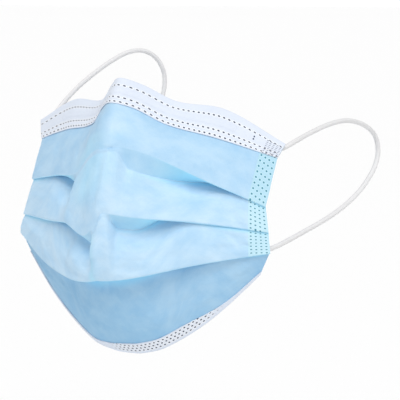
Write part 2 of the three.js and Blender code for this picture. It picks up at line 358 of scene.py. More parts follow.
def makeSpunbondGroup():
    tree, inside, outside = newGroup(
        "spunbondCloth",
        [
            ("Place", "Vector", None),
            ("Base", "Color", (0.8, 0.8, 0.8, 1)),
            ("Deep", "Color", (0.6, 0.6, 0.6, 1)),
            ("Mottle", "Float", 0.3),
        ],
        [("Color", "Color"), ("Height", "Float")],
    )
    place = inside["Place"]
    streaked = addMapping(tree, place, Scale=spunbond["cloudStretch"])
    clouds = addNoise(tree, streaked, spunbond["cloudScale"], Detail=5.0, Roughness=0.6)
    patches = addRange(tree, clouds, *spunbond["cloudRange"])
    fibres = []
    for angle, scale in spunbond["fibres"]:
        long, short = spunbond["fibreStretch"]
        turned = addMapping(tree, place, Rotation=(0, 0, angle), Scale=(long * scale, short * scale, 1))
        fibres.append(addNoise(tree, turned, 1.0, Detail=3.0, Distortion=0.6))
    felt = addMath(tree, "DIVIDE", addMath(tree, "ADD", *fibres), len(fibres))
    lattice = addMapping(tree, place, Rotation=(0, 0, math.radians(spunbond["bondTurn"])))
    turns = 2 * math.pi / spunbond["bondPitch"]
    axes = addSplit(tree, lattice)[:2]
    waves = [addMath(tree, "COSINE", addMath(tree, "MULTIPLY", axis, turns)) for axis in axes]
    bond = addRange(tree, addMath(tree, "ADD", *waves), *spunbond["bondRange"], shape="SMOOTHSTEP")
    tint = addMath(
        tree, "ADD",
        addMath(tree, "MULTIPLY", patches, inside["Mottle"]),
        addMath(tree, "MULTIPLY", addMath(tree, "SUBTRACT", felt, 0.5), spunbond["fibreTint"]),
        addMath(tree, "MULTIPLY", bond, spunbond["bondTint"]),
    )
    tree.links.new(addMix(tree, tint, inside["Base"], inside["Deep"]), outside["Color"])
    sunk = addMath(tree, "MULTIPLY", bond, spunbond["bondSink"])
    tree.links.new(addMath(tree, "SUBTRACT", felt, sunk), outside["Height"])
    return tree


# A row of weld dots at one height: an oblique dash every pitch, with a puffed rim round it
def makeDotRowGroup():
    names = ("Along", "Down", "Row", "Pitch", "Phase", "Slant", "Half Length", "Half Width")
    tree, inside, outside = newGroup(
        "weldDotRow",
        [(name, "Float", 1.0) for name in names],
        [("Dot", "Float"), ("Rim", "Float")],
    )
    off = addMath(tree, "SUBTRACT", inside["Down"], inside["Row"])
    lean = addMath(tree, "MULTIPLY", off, inside["Slant"])
    run = addMath(tree, "ADD", inside["Along"], inside["Phase"], lean)
    turn = addMath(tree, "FLOORED_MODULO", run, inside["Pitch"])
    beside = addMath(tree, "SUBTRACT", turn, addMath(tree, "MULTIPLY", inside["Pitch"], 0.5))
    x = addMath(tree, "DIVIDE", beside, inside["Half Length"])
    y = addMath(tree, "DIVIDE", off, inside["Half Width"])
    squares = [addMath(tree, "MULTIPLY", side, side) for side in (x, y)]
    reach = addMath(tree, "SQRT", addMath(tree, "ADD", *squares))
    for name, (low, high) in (("Dot", weldRows["dotEdge"]), ("Rim", weldRows["rimEdge"])):
        tree.links.new(addRange(tree, reach, low, high, 1.0, 0.0, "SMOOTHSTEP"), outside[name])
    return tree


spunbondCloth = makeSpunbondGroup()
weldDotRow = makeDotRowGroup()


def addCloth(tree, place, color, mottle):
    return addGroup(tree, spunbondCloth, Place=place, Mottle=fabric["mottle"][mottle],
                    Base=clothColors[color], Deep=clothColors[color + "Deep"])


# Rows of weld dots of some sizes, as a mask of all the dots and a mask of all the rims
def addDotRows(tree, along, down, rows, sizes):
    made = []
    for row, phase, slant in rows:
        made.append(addGroup(
            tree, weldDotRow, Along=along, Down=down, Row=row, Phase=phase, Slant=slant,
            Pitch=sizes["pitch"], Half_Length=sizes["halfLength"], Half_Width=sizes["halfWidth"],
        ))
    return [addMath(tree, "MAXIMUM", *[node.outputs[name] for node in made]) for name in ("Dot", "Rim")]


# The shade map holds painted shade, which multiplies the blue deeper, and a painted shadow in a
# saturated blue, in and under shut pleats and in the hollows beside the ridge
def tonedColor(tree, color):
    paintedShade, tucked, _ = addSplit(tree, placeOnMap(tree, "tone"))
    color = addMix(tree, paintedShade, color, clothColors["shadeTint"], "MULTIPLY")
    return addMix(tree, tucked, color, clothColors["tucked"])


# Cloth with dark dots pressed into it and pale rims round them. The dots' dark colour is partly the
# weld's own glassy film and partly painted shade in the pits. ground is White or Blue.
def dressWelds(tree, shader, cloth, color, dots, rims, ground):
    rims = addMath(tree, "MULTIPLY", rims, fabric["rimShare"][ground])
    color = addMix(tree, rims, color, clothColors["rimOn" + ground])
    addColor(tree, shader, addMix(tree, dots, color, clothColors["dotOn" + ground]))
    felt = addMath(tree, "MULTIPLY", cloth.outputs["Height"], fabric["feltShare"])
    addBump(tree, shader, addMath(tree, "SUBTRACT", felt, dots), fabric["weld"], fabric["strength"])


# The blue outer cloth, and the white inner one
def makePlainCloth(name, colorName, finish, toned):
    material, tree, shader = newMaterial(name, finish)
    cloth = addCloth(tree, placeOnMap(tree, "cloth"), colorName, name)
    color = cloth.outputs["Color"]
    # The blue takes painted shade and painted shadow from its shade map; the white inner cloth has none
    addColor(tree, shader, tonedColor(tree, color) if toned else color)
    addBump(tree, shader, cloth.outputs["Height"], fabric["felt"], fabric["strength"])
    return material


# The hatching of the band's corners and the mark at the end of its wire, as one mask
def addBandMarks(tree, across, down, fromMiddle):
    row = [(cornerHatch["rowPitch"] / 2, 0.0, cornerHatch["slant"])]
    inRow = addMath(tree, "FLOORED_MODULO", down, cornerHatch["rowPitch"])
    hatching = addDotRows(tree, across, inRow, row, cornerHatch)[0]
    atSide = addMath(tree, "GREATER_THAN", fromMiddle, cornerHatch["from"])
    below = addMath(tree, "GREATER_THAN", down, cornerHatch["below"])
    hatching = addMath(tree, "MULTIPLY", hatching, atSide, below, cornerHatch["strength"])
    dashes = [(row, wireMark["pitch"] / 2 - wireMark["across"], 0.0) for row in wireMark["rows"]]
    return addMath(tree, "MAXIMUM", hatching, addDotRows(tree, across, down, dashes, wireMark)[0])


# The white cloth of the band and the hem, with its rows of weld dots along the edge. The band's go
# all the way and it has its marks, and the hem's fade out.
def makeEdgeCloth(name, rows, onBand):
    material, tree, shader = newMaterial(name, fabric["finish"])
    place = placeOnMap(tree, "cloth")
    across, down, _ = addSplit(tree, place)
    cloth = addCloth(tree, place, "white", "edge")
    dots, rims = addDotRows(tree, across, down, rows, weldRows)
    middle = weldRows["middle"] if onBand else weldRows["hemMiddle"]
    fromMiddle = addMath(tree, "ABSOLUTE", addMath(tree, "SUBTRACT", across, middle))
    if onBand:
        dots = addMath(tree, "MAXIMUM", dots, addBandMarks(tree, across, down, fromMiddle))
    else:
        within = addRange(tree, fromMiddle, weldRows["hemReach"], weldRows["hemReach"] - weldRows["hemFade"])
        dots = addMath(tree, "MULTIPLY", dots, within)
        rims = addMath(tree, "MULTIPLY", rims, within)
    dressWelds(tree, shader, cloth, cloth.outputs["Color"], dots, rims, "White")
    return material


# The welded strips: the blue cloth pressed flat and a little clearer, with four columns of dots.
# Towards the hem the cloth is plain.
def makeWeldCloth(name):
    material, tree, shader = newMaterial(name, fabric["finish"])
    place = placeOnMap(tree, "cloth")
    fromSide, down, _ = addSplit(tree, placeOnMap(tree, "weld"))
    pressed = addCloth(tree, place, "welded", "welded")
    plain = addCloth(tree, place, "blue", "blueNonwoven")
    columns = [(column, weldStrip["shift"] * column, weldStrip["slant"]) for column in weldStrip["columns"]]
    dots, rims = addDotRows(tree, down, fromSide, columns, weldStrip)
    welded = addMath(tree, "LESS_THAN", down, weldStrip["ends"])
    dots = addMath(tree, "MULTIPLY", dots, welded)
    rims = addMath(tree, "MULTIPLY", rims, welded)
    color = addMix(tree, welded, plain.outputs["Color"], pressed.outputs["Color"])
    # The strips take the same painted shade and painted shadow as the body
    dressWelds(tree, shader, pressed, tonedColor(tree, color), dots, rims, "Blue")
    return material


def makeElasticCord(name):
    material, tree, shader = newMaterial(name, elasticKnit["finish"])
    place = placeOnMap(tree, "cord")
    around, along, _ = addSplit(tree, place)
    ribs = []
    for acrossTurns in elasticKnit["ribsAcross"]:
        run = addMath(tree, "ADD", addMath(tree, "MULTIPLY", around, acrossTurns),
                      addMath(tree, "MULTIPLY", along, elasticKnit["ribsAlong"]))
        ribs.append(addMath(tree, "ABSOLUTE", addMath(tree, "SINE", run)))
    fuzz = addNoise(tree, place, elasticKnit["fuzzScale"], Detail=3.0)
    # Painted shade in the knit's grooves, mixed with a random fuzz tone
    shade = addMath(tree, "ADD", addMath(tree, "MULTIPLY", *ribs, 1 - elasticKnit["fuzzShare"]),
                    addMath(tree, "MULTIPLY", fuzz, elasticKnit["fuzzShare"]))
    addColor(tree, shader, addMix(tree, shade, clothColors["elasticGrooveShade"], clothColors["elastic"]))
    addBump(tree, shader, shade, elasticKnit["depth"], elasticKnit["strength"])
    return material


elasticCord = makeElasticCord("elasticCord")
blueNonwoven = makePlainCloth("blueNonwoven", "blue", fabric["finish"], toned=True)
innerNonwoven = makePlainCloth("innerNonwoven", "white", fabric["innerFinish"], toned=False)
weldedNonwoven = makeWeldCloth("weldedNonwoven")
bandNonwoven = makeEdgeCloth("bandNonwoven", weldRows["band"], onBand=True)
hemNonwoven = makeEdgeCloth("hemNonwoven", weldRows["hem"], onBand=False)
print("materials made")

# Ear loops: round knitted elastic, along the centre lines that the model's solids follow
earLoops = {
    "diameter": 2.6,
    "sides": 20,
    "fineSteps": 24,
    "ringEvery": 0.55,
    "ribs": 10,
    "ribTurn": 3.4,
    "ribHeight": 0.09,
    "endShare": 0.05,
    "pathEvery": 4,
    "routes": {
        "ear_loop_left": [
            (69.6, 32.8, -31.6), (73.3, 35.1, -31.3), (77.1, 38.6, -30.6), (79.8, 43, -28.8),
            (80.6, 49.4, -26.8), (81, 57, -24.9), (81.4, 65.5, -22.9), (82.2, 75.5, -20.7),
            (83, 86.5, -19), (83.8, 95.5, -18.3), (84.3, 104.5, -18.8), (85, 113.5, -20.6),
            (85.5, 121.5, -23.4), (86, 128.1, -27.4), (86.2, 131.7, -32.6), (86.2, 132.5, -38.6),
            (86, 129.9, -45), (85.4, 123.5, -51.8), (84.8, 114.5, -58), (84, 103, -63.6),
            (83, 90.5, -68.2), (82, 77, -72), (81, 63, -75.2), (80.2, 50, -78),
            (79.8, 39.5, -80), (79.4, 32, -81.3), (77.9, 26.7, -82.3), (74.4, 23.6, -82.8),
            (70.4, 21.3, -83.4),
        ],
        "ear_loop_right": [
            (-68.8, 37.3, -21.1), (-72.3, 38.5, -22.1), (-75.2, 40.9, -21.6), (-76, 44.5, -18.4),
            (-75, 48.9, -13.8), (-73, 53.5, -8.6), (-70.4, 59.1, -3), (-67, 65.1, 2.4),
            (-63.2, 72.5, 8), (-60, 78.9, 12.2), (-57, 85.1, 15.6), (-54.2, 91.5, 17.7),
            (-51.6, 97.1, 18), (-49.4, 101.9, 16.6), (-47.4, 106.3, 13.6), (-45.8, 109.5, 9),
            (-45, 111.5, 3.4), (-45, 111.5, -3.6), (-46.2, 108.9, -13), (-48.8, 103.1, -24),
            (-52.6, 94.5, -35.6), (-57.2, 83.9, -47), (-62.4, 71.9, -57.4), (-67.8, 59.5, -66.4),
            (-73, 47.5, -73.6), (-77, 37.9, -78.6), (-78.9, 31.5, -81.2), (-77.7, 26.6, -82.5),
            (-74.2, 23.5, -83.6), (-70.2, 21.1, -84.8),
        ],
    },
}


# A centripetal spline through the route, walked at even steps
def evenPath(route, step):
    knots = [Vector(p) for p in route]
    knots = [knots[0] * 2 - knots[1]] + knots + [knots[-1] * 2 - knots[-2]]
    fine = []
    for i in range(1, len(knots) - 2):
        p0, p1, p2, p3 = knots[i - 1:i + 3]
        t1 = math.sqrt((p1 - p0).length)
        t2 = t1 + math.sqrt((p2 - p1).length)
        t3 = t2 + math.sqrt((p3 - p2).length)
        for t in spread(t1, t2, earLoops["fineSteps"])[:-1]:
            a1 = p0 * ((t1 - t) / t1) + p1 * (t / t1)
            a2 = p1 * ((t2 - t) / (t2 - t1)) + p2 * ((t - t1) / (t2 - t1))
            a3 = p2 * ((t3 - t) / (t3 - t2)) + p3 * ((t - t2) / (t3 - t2))
            b1 = a1 * ((t2 - t) / t2) + a2 * (t / t2)
            b2 = a2 * ((t3 - t) / (t3 - t1)) + a3 * ((t - t1) / (t3 - t1))
            fine.append(b1 * ((t2 - t) / (t2 - t1)) + b2 * ((t - t1) / (t2 - t1)))
    fine.append(knots[-2])
    along = [0.0]
    for a, b in zip(fine, fine[1:]):
        along.append(along[-1] + (b - a).length)
    steps = round(along[-1] / step)
    path = []
    k = 0
    for distance in spread(0, along[-1], steps):
        while k < len(fine) - 2 and along[k + 1] < distance:
            k += 1
        t = clamped((distance - along[k]) / (along[k + 1] - along[k]))
        path.append(fine[k].lerp(fine[k + 1], t))
    return path, along[-1]


def makeEarLoop(name, route):
    path, length = evenPath(route, earLoops["ringEvery"])
    sides = earLoops["sides"]
    radius = earLoops["diameter"] / 2
    step = length / (len(path) - 1)
    side = (path[1] - path[0]).orthogonal().normalized()
    points = []
    places = []
    for i, centre in enumerate(path):
        ahead = (path[min(i + 1, len(path) - 1)] - path[max(i - 1, 0)]).normalized()
        side = (side - ahead * side.dot(ahead)).normalized()
        up = ahead.cross(side)
        fromEnd = min(i * step, length - i * step, radius)
        rounded = math.sqrt(clamped(fromEnd * (2 * radius - fromEnd) / radius ** 2))
        for k in range(sides):
            angle = 2 * math.pi * k / sides
            rib = math.cos(earLoops["ribs"] * angle + 2 * math.pi * i * step / earLoops["ribTurn"])
            out = radius * max(earLoops["endShare"], rounded) + earLoops["ribHeight"] * rib * rounded
            points.append(centre + (side * math.cos(angle) + up * math.sin(angle)) * out)
            places.append((angle * radius, i * step))
    faces = gridFaces(len(path), sides, closed=True)
    faces.append(tuple(reversed(range(sides))))
    faces.append(tuple((len(path) - 1) * sides + k for k in range(sides)))
    piece = makePiece(name + "_cord", points, faces, cord=places)
    piece.data.materials.append(elasticCord)
    declarePiece(piece, name)
    print(name, "length", round(length, 1))


for loopName, loopRoute in earLoops["routes"].items():
    makeEarLoop(loopName, loopRoute)

# The cloth. Lines cross the mask from top to bottom. back and up are shares of the depth and the
# drop at five stations, from the ridge to the side. The cloth is shaped between them. Two values
# after From or To are where something starts and where it is full, as shares across, but as shares
# of a whole fold's turn for where a fold's painted shadow starts.
clothShape = {
    "halfWidth": 80.0,
    "depth": 65.0,
    "drop": 149.0,
    "modelWall": 1.0,
    "sharpAngle": 50,  # degrees
    "wall": 0.5,
    "foldPitch": 1.4,
    "sidePitch": 0.6,
    "sidePitchFrom": (0.55, 0.88),
    "openPitch": 0.45,
    "asideTo": (0.7, 1.0),  # a shut fold keeps its own heading up to here
    "bendSteps": 5,
    "flatTurn": 0.02,  # radians
    "tuckCoarser": 1.6,
    "pleatDepth": 10.0,
    "flatDepth": 0.9,
    # Painted shade on an open fold's facet and on a shut fold's cloth, and the turns between which a fold
    # takes painted shadow
    "facetShade": 0.30,
    "tuckedTone": 0.1,
    "tuckedFrom": (0.10, 0.55),
    "turnedBy": 0.6,  # of the way through a pleat's grow
    "stations": (0, 0.12, 0.3, 0.62, 1),
    "weldWidth": 8.9,
    "lines": [
        {"name": "bandTop", "out": 1.01, "outRight": 1.00, "crown": 0.00,
         "back": (0.062, 0.165, 0.320, 0.460, 0.606),
         "up": (0.043, 0.018, -0.040, -0.068, -0.186),
         "upRight": (0.043, 0.018, -0.045, -0.052, -0.137)},
        {"name": "bandLow", "out": 1.00, "outRight": 0.93, "crown": 0.03,
         "back": (-0.063, 0.028, 0.176, 0.330, 0.500),
         "up": (-0.044, -0.063, -0.121, -0.167, -0.233),
         "upRight": (-0.044, -0.063, -0.131, -0.160, -0.205)},
        {"name": "pleat1", "out": 0.98, "outRight": 0.94, "crown": 0.03,
         "back": (-0.210, -0.159, -0.056, 0.150, 0.362),
         "up": (-0.201, -0.194, -0.221, -0.306, -0.397),
         "upRight": (-0.201, -0.225, -0.298, -0.320, -0.352)},
        {"name": "pleat2", "out": 1.01, "outRight": 1.01, "crown": 0.04,
         "back": (-0.343, -0.294, -0.206, 0.044, 0.347),
         "up": (-0.415, -0.425, -0.437, -0.451, -0.486),
         "upRight": (-0.415, -0.450, -0.470, -0.480, -0.486)},
        {"name": "pleat3", "out": 1.03, "outRight": 1.03, "crown": 0.05,
         "back": (-0.281, -0.247, -0.174, 0.018, 0.334),
         "up": (-0.666, -0.662, -0.644, -0.599, -0.558),
         "upRight": (-0.666, -0.677, -0.676, -0.636, -0.558)},
        {"name": "hem", "out": 0.94, "outRight": 0.93, "crown": 0.00,
         "back": (0.163, 0.165, 0.179, 0.232, 0.360),
         "up": (-0.953, -0.949, -0.920, -0.815, -0.640),
         "upRight": (-0.953, -0.949, -0.922, -0.802, -0.640)},
    ],
    "turned": {"from": 0.72, "at": 0.885, "back": (-1.2, 9.0, 0.0)},
    "probe": 0.01,
    "foldProbe": 0.16,
    "shutFrom": 0.5,
    "pleats": {
        "pleat1": {
            "right": {"opening": (1.00, 0.98, 0.84, 0.24, 0.00), "grow": (0.24, 0.44)},
            "left": {"opening": (0.86, 0.82, 0.80, 0.44, 0.00), "grow": (0.09, 0.19)},
        },
        "pleat2": {
            "right": {"opening": (0.84, 0.70, 0.48, 0.07, 0.00), "grow": (0.01, 0.05)},
            "left": {"opening": (0.80, 0.74, 0.66, 0.12, 0.00), "grow": (0.08, 0.15)},
        },
        "pleat3": {
            "right": {"opening": (0.62, 0.62, 0.55, 0.30, 0.05), "grow": (-2, -1)},
            "left": {"opening": (0.62, 0.62, 0.55, 0.30, 0.05), "grow": (-2, -1)},
        },
    },
    "rolled": {"pleat": "pleat2", "drop": 10.0, "from": -0.34, "full": -0.06, "to": 0.07},
    "dents": [
        {"panel": 3, "across": -0.055, "spread": (0.08, 0.035), "from": -0.1, "to": 1.0, "depth": 1.5},
        {"panel": 3, "across": -0.25, "spread": (0.12, 0.10), "from": 0.0, "to": 1.0, "depth": -2.3},
    ],
}

lines = clothShape["lines"]
lastPanel = len(lines) - 2


# A smooth curve through one value for each station
def throughStations(values, share):
    stations = clothShape["stations"]
    across = abs(share)
    i = 0
    while i < len(stations) - 2 and across > stations[i + 1]:
        i += 1

    def slope(k):
        if k == 0:
            return 0.0
        if k == len(stations) - 1:
            return (values[k] - values[k - 1]) / (stations[k] - stations[k - 1])
        return (values[k + 1] - values[k - 1]) / (stations[k + 1] - stations[k - 1])

    span = stations[i + 1] - stations[i]
    t = (across - stations[i]) / span
    start = values[i] * (2 * t ** 3 - 3 * t ** 2 + 1) + slope(i) * span * (t ** 3 - 2 * t ** 2 + t)
    end = values[i + 1] * (3 * t ** 2 - 2 * t ** 3) + slope(i + 1) * span * (t ** 3 - t ** 2)
    return start + end


# The wearer's right side turns back along its weld: how far across its cloth lies, and how far back
def turnedPlace(share):
    turned = clothShape["turned"]
    if share > -turned["from"]:
        return share, 0.0
    t = (-share - turned["from"]) / (turned["at"] - turned["from"])
    reach = turned["from"] + (1 - turned["from"]) * clamped(t)
    return -reach, clamped((-share - turned["at"]) / (1 - turned["at"]))


def onLine(index, placeAcross):
    share, turned = turnedPlace(placeAcross)
    line = lines[index]
    out = line["outRight"] if share < 0 else line["out"]
    up = line["upRight"] if share < 0 else line["up"]
    x = share * clothShape["halfWidth"] * (1 + (out - 1) * share ** 2)
    y = throughStations(line["back"], share) * clothShape["depth"] - clothShape["modelWall"] / 2
    back = Vector(clothShape["turned"]["back"]) * turned
    return Vector((x, y, throughStations(up, share) * clothShape["drop"])) + back


def directionsAt(index, share, probe):
    across = (onLine(index, min(1, share + probe)) - onLine(index, max(-1, share - probe))).normalized()
    down = onLine(min(len(lines) - 1, index + 1), share) - onLine(max(0, index - 1), share)
    inward = across.cross(down).normalized()
    return inward.cross(across).normalized(), inward


# How far a pleat turns back, and how much cloth is tucked behind its edge. Where a pleat is pulled
# quite flat it has neither.
def pleatAt(name, share):
    side = clothShape["pleats"][name]["left" if share > 0 else "right"]
    low, high = side["grow"]
    turn = (1 - clamped(throughStations(side["opening"], share))) * math.pi
    turn *= smoothBetween(low, mixed(low, high, clothShape["turnedBy"]), abs(share))
    depth = mixed(clothShape["flatDepth"], clothShape["pleatDepth"], smoothBetween(low, high, abs(share)))
    return turn, depth


# How far a pleat's edge has rolled down into the panel below it
def rolledAt(name, share):
    rolled = clothShape["rolled"]
    if name != rolled["pleat"]:
        return 0.0
    grown = smoothBetween(rolled["from"], rolled["full"], share)
    return rolled["drop"] * grown * (1 - smoothBetween(0.0, rolled["to"], share))


# The cloth behind a pleat's edge, which goes round the edge and up behind it to the tuck. Where the
# pleat is shut it lies along what covers it.
def foldAt(index, share, edge, coverTop, pleat, shut, sidePitch):
    turn, depth = pleat
    down, under = directionsAt(index, share, clothShape["foldProbe"])
    across = down.cross(under)
    cover = (edge - coverTop).normalized()
    aside = 1 - smoothBetween(*clothShape["asideTo"], abs(share))
    shutDown = (cover - across * (cover.dot(across) * aside)).normalized()
    down = down.lerp(shutDown, shut).normalized()
    under = under.lerp(across.cross(shutDown).normalized(), shut).normalized()

    def heading(angle, length):
        return down * (math.cos(angle) * length) + under * (math.sin(angle) * length)

    pitch = sidePitch * mixed(clothShape["openPitch"], 1, shut)
    tuck = edge + heading(turn / 2, pitch) + heading(turn, depth)
    return {"turn": turn, "depth": depth, "pitch": pitch, "heading": heading, "tuck": tuck}


# Everything at one share across: the seams, which are where the lines run, with each pleat's fold,
# and the panels between them. A panel's hidden part lies behind the pleat above it.
def columnFrame(share):
    sidePart = smoothBetween(*clothShape["sidePitchFrom"], abs(share))
    sidePitch = mixed(clothShape["foldPitch"], clothShape["sidePitch"], sidePart)
    seams = []
    for index, line in enumerate(lines):
        edge = onLine(index, share)
        drop = rolledAt(line["name"], share)
        if drop:
            edge += (onLine(index + 1, share) - edge).normalized() * drop
        inward = directionsAt(index, share, clothShape["probe"])[1]
        seam = {"edge": edge, "inward": inward, "start": edge, "landing": edge, "shut": 0.0, "fold": None}
        if line["name"] in clothShape["pleats"]:
            pleat = pleatAt(line["name"], share)
            shut = smoothBetween(clothShape["shutFrom"], 1, pleat[0] / math.pi)
            fold = foldAt(index, share, edge, seams[-1]["landing"], pleat, shut, sidePitch)
            seam["start"] = fold["tuck"] + fold["heading"](fold["turn"] / 2, fold["pitch"])
            seam["landing"] = edge + inward * (2 * sidePitch * shut)
            seam["shut"] = shut
            seam["fold"] = fold
        seams.append(seam)
    panels = []
    for above, below in zip(seams, seams[1:]):
        end = below["edge"]
        depth = above["fold"]["depth"] if above["fold"] else 0.0
        hidden = depth / (depth + (above["landing"] - end).length)
        bend = above["start"].lerp(end, hidden).lerp(above["landing"], above["shut"])
        length = (end - above["start"]).length
        panels.append({"start": above["start"], "bend": bend, "end": end, "length": length,
                       "hidden": hidden, "shut": above["shut"], "inward": above["inward"]})
    return {"share": share, "seams": seams, "panels": panels}


def dentDepth(index, share, t):
    depth = 0.0
    for dent in clothShape["dents"]:
        if dent["panel"] == index:
            along = clamped((t - dent["from"]) / (dent["to"] - dent["from"]))
            aside = share - dent["across"]
            spreadHere = math.exp(-(aside / dent["spread"][0 if aside < 0 else 1]) ** 2)
            depth += dent["depth"] * math.sin(math.pi * along) ** 2 * spreadHere
    return depth


def panelPoint(column, index, t):
    share = column["share"]
    panel = column["panels"][index]
    hidden = panel["hidden"]
    if t < hidden:
        point = panel["start"].lerp(panel["bend"], t / hidden)
    else:
        point = panel["bend"].lerp(panel["end"], (t - hidden) / (1 - hidden))
    covered = hidden * panel["shut"]
    free = max(0.0, (t - covered) / (1 - covered))
    swell = lines[index]["crown"] * clothShape["depth"] * 4 * free * (1 - free) * (1 - share ** 2)
    return point + panel["inward"] * (dentDepth(index, share, free) - swell)


# Points round one bend of the cloth, whose heading turns from one angle to the other
def bendPoints(origin, heading, fromAngle, toAngle, chord, steps):
    turn = toAngle - fromAngle
    if abs(turn) < clothShape["flatTurn"]:
        return [origin + heading(fromAngle + turn / 2, chord * k / steps) for k in range(1, steps + 1)]
    scale = chord / math.sin(abs(turn) / 2)
    bend = []
    for k in range(1, steps + 1):
        part = turn * k / steps
        bend.append(origin + heading(fromAngle + part / 2, scale * math.sin(abs(part) / 2)))
    return bend


# Creases: each follows places on its panel, as a share across and a height, and has a half width
# and a depth inward. A depth below zero stands proud. A crease has a folded line unless it is soft.
creases = [
    {"panel": 1, "path": ((0.01, -7), (0.055, -30)), "width": 3.6, "depth": -1.3},
    {"panel": 2, "path": ((0.055, -30), (0.05, -46), (0.02, -62)), "width": 4.0, "depth": -1.5},
    {"panel": 3, "path": ((0.03, -66), (0.02, -80), (0.00, -98)), "width": 2.6, "depth": -0.9},
    {"panel": 3, "path": ((-0.33, -72), (-0.31, -82), (-0.35, -93)), "width": 2.4, "depth": 1.0},
    {"panel": 2, "path": ((0.16, -37), (0.30, -45), (0.52, -47)), "width": 2.4, "depth": -0.6},
    {"panel": 3, "path": ((0.12, -73), (0.28, -75), (0.44, -71)), "width": 2.2, "depth": -0.6},
    {"panel": 3, "path": ((0.50, -68), (0.88, -76)), "width": 2.2, "depth": 0.5},
    {"panel": 2, "path": ((0.55, -52), (0.87, -62)), "width": 2.2, "depth": 0.5},
    {"panel": 4, "path": ((-0.10, -104), (0.35, -106)), "width": 3.0, "depth": 0.4},
    {"panel": 2, "path": ((0.79, -62), (0.84, -69)), "width": 1.6, "depth": 0.7, "soft": True},
    {"panel": 3, "path": ((0.80, -76), (0.88, -80)), "width": 1.6, "depth": 0.8, "soft": True},
    {"panel": 1, "path": ((-0.33, -34), (-0.05, -27)), "width": 3.0, "depth": 0.5, "soft": True},
]

# The cloth's soft relief: how long, how short and how deep its waves are, and where each panel's
# noise is taken. The free ranges are shares of a panel, from its edge to where the relief is full.
relief = {
    "arcHalf": 92.0,
    "clouds": {"long": 16.0, "short": 11.0, "depth": 0.62, "seed": 0.0, "seedStep": 3.7},
    "ripples": {"long": 7.0, "short": 4.5, "depth": 0.13, "seed": 4.4, "seedStep": 1.9},
    "pulls": {"long": 46.0, "short": 5.5, "depth": 0.38, "seed": 1.3, "seedStep": 2.9},
    "rightPulls": 9.1,  # moves the noise, so the two sides differ
    "pullFrom": (0.40, 0.80),
    "topFree": (0.0, 0.12),
    "footFree": (0.0, 0.12),
    "hemFree": (0.17, 0.34),
    "creaseFree": 0.05,
    "sideFree": (0.88, 0.94),
    "tuckedFree": (0.8, 1.5),
    "freeLeast": 0.01,
}

# The panels from the band to the hem: the height, how much painted shade lies at the top and at the
# foot, where the cloth's ridge runs, and how much more painted shade lies on the wearer's right,
# the side turned from the key
panelLooks = [
    {"height": 15.0, "tone": (0.30, 0.30), "ridge": 0.0, "right": 0.18},
    {"height": 23.0, "tone": (0.38, 0.26), "ridge": 0.045, "right": 0.18},
    {"height": 31.0, "tone": (0.08, 0.00), "ridge": 0.05, "right": 0.18},
    {"height": 37.0, "tone": (0.12, 0.06), "ridge": 0.03, "right": 0.06},
    {"height": 44.0, "tone": (0.75, 1.15), "ridge": 0.0, "right": 0.0},
]
# Painted light and shade: how wide the painted highlight along the ridge is, where the painted shade is full
# on the wearer's left, painted light on the chin panel towards the key, the painted shadow under shut folds
# and how far it reaches, and how the hollows' painted shadow fades in and out
tones = {
    "ridgeHighlightHalf": 0.045,
    "leftFullAt": 0.30,
    "chinLight": 0.25,
    "chinLightFrom": (0.05, 0.45),
    "underFoldShadow": 0.75,
    "underFoldReach": 0.13,
    "hollowFade": (0.2, 0.35),
}

# Hollows beside the ridge, where the cloth takes a painted shadow in a saturated blue
hollowShadows = [
    {"panel": 3, "across": -0.035, "spread": 0.035, "along": (-0.3, 1.4), "tone": 0.45},
    {"panel": 2, "across": -0.10, "spread": 0.15, "along": (-0.3, 0.75), "tone": 0.30},
    {"panel": 1, "across": -0.14, "spread": 0.15, "along": (0.55, 1.5), "tone": 0.26},
]


def nearCrease(crease, across, height):
    place = Vector((across, height))
    gaps = []
    corners = [Vector((share * relief["arcHalf"], z)) for share, z in crease["path"]]
    for start, end in zip(corners, corners[1:]):
        along = end - start
        t = clamped((place - start).dot(along) / along.length_squared)
        gaps.append((place - start.lerp(end, t)).length)
    reach = min(gaps) / crease["width"]
    return math.exp(-reach ** 2) if crease.get("soft") else math.exp(-reach)


# The depth of one kind of wave, by smooth noise or by noise in three layers
def waveDepth(wave, index, across, down, layered=False):
    place = Vector((across / wave["long"], down / wave["short"], wave["seed"] + wave["seedStep"] * index))
    return wave["depth"] * (noise.fractal(place, 1.0, 2.0, 3) if layered else noise.noise(place))


# How far a point of a panel stands inward of the plain form
def clothRelief(index, share, t, height):
    across = share * relief["arcHalf"]
    down = t * panelLooks[index]["height"]
    low, high = relief["hemFree"] if index == lastPanel else relief["footFree"]
    edge = smoothBetween(*relief["topFree"], t) * smoothBetween(low, high, 1 - t)
    pulled = smoothBetween(*relief["pullFrom"], abs(share))
    pullAcross = across + (relief["rightPulls"] * relief["pulls"]["long"] if share < 0 else 0.0)
    depth = waveDepth(relief["clouds"], index, across, down, layered=True) * edge
    depth += waveDepth(relief["ripples"], index, across, down) * edge
    depth += waveDepth(relief["pulls"], index, pullAcross, down) * pulled * edge
    for crease in creases:
        if crease["panel"] == index:
            free = smoothBetween(low, low + relief["creaseFree"], 1 - t)
            depth += crease["depth"] * nearCrease(crease, across, height) * free
    return depth


# How much painted shade lies down each panel. It eases to nothing at the ridge, which leaves a
# painted highlight there, and on the chin panel it eases towards the wearer's left, as painted light
# from the key.
def panelShade(index, share, t):
    look = panelLooks[index]
    tone = mixed(*look["tone"], t)
    if index == lastPanel:
        return tone * (1 - tones["chinLight"] * smoothBetween(*tones["chinLightFrom"], share))
    if share < look["ridge"]:
        return (tone + look["right"]) * smoothBetween(0.0, tones["ridgeHighlightHalf"], look["ridge"] - share)
    return tone * smoothBetween(look["ridge"], tones["leftFullAt"], share)


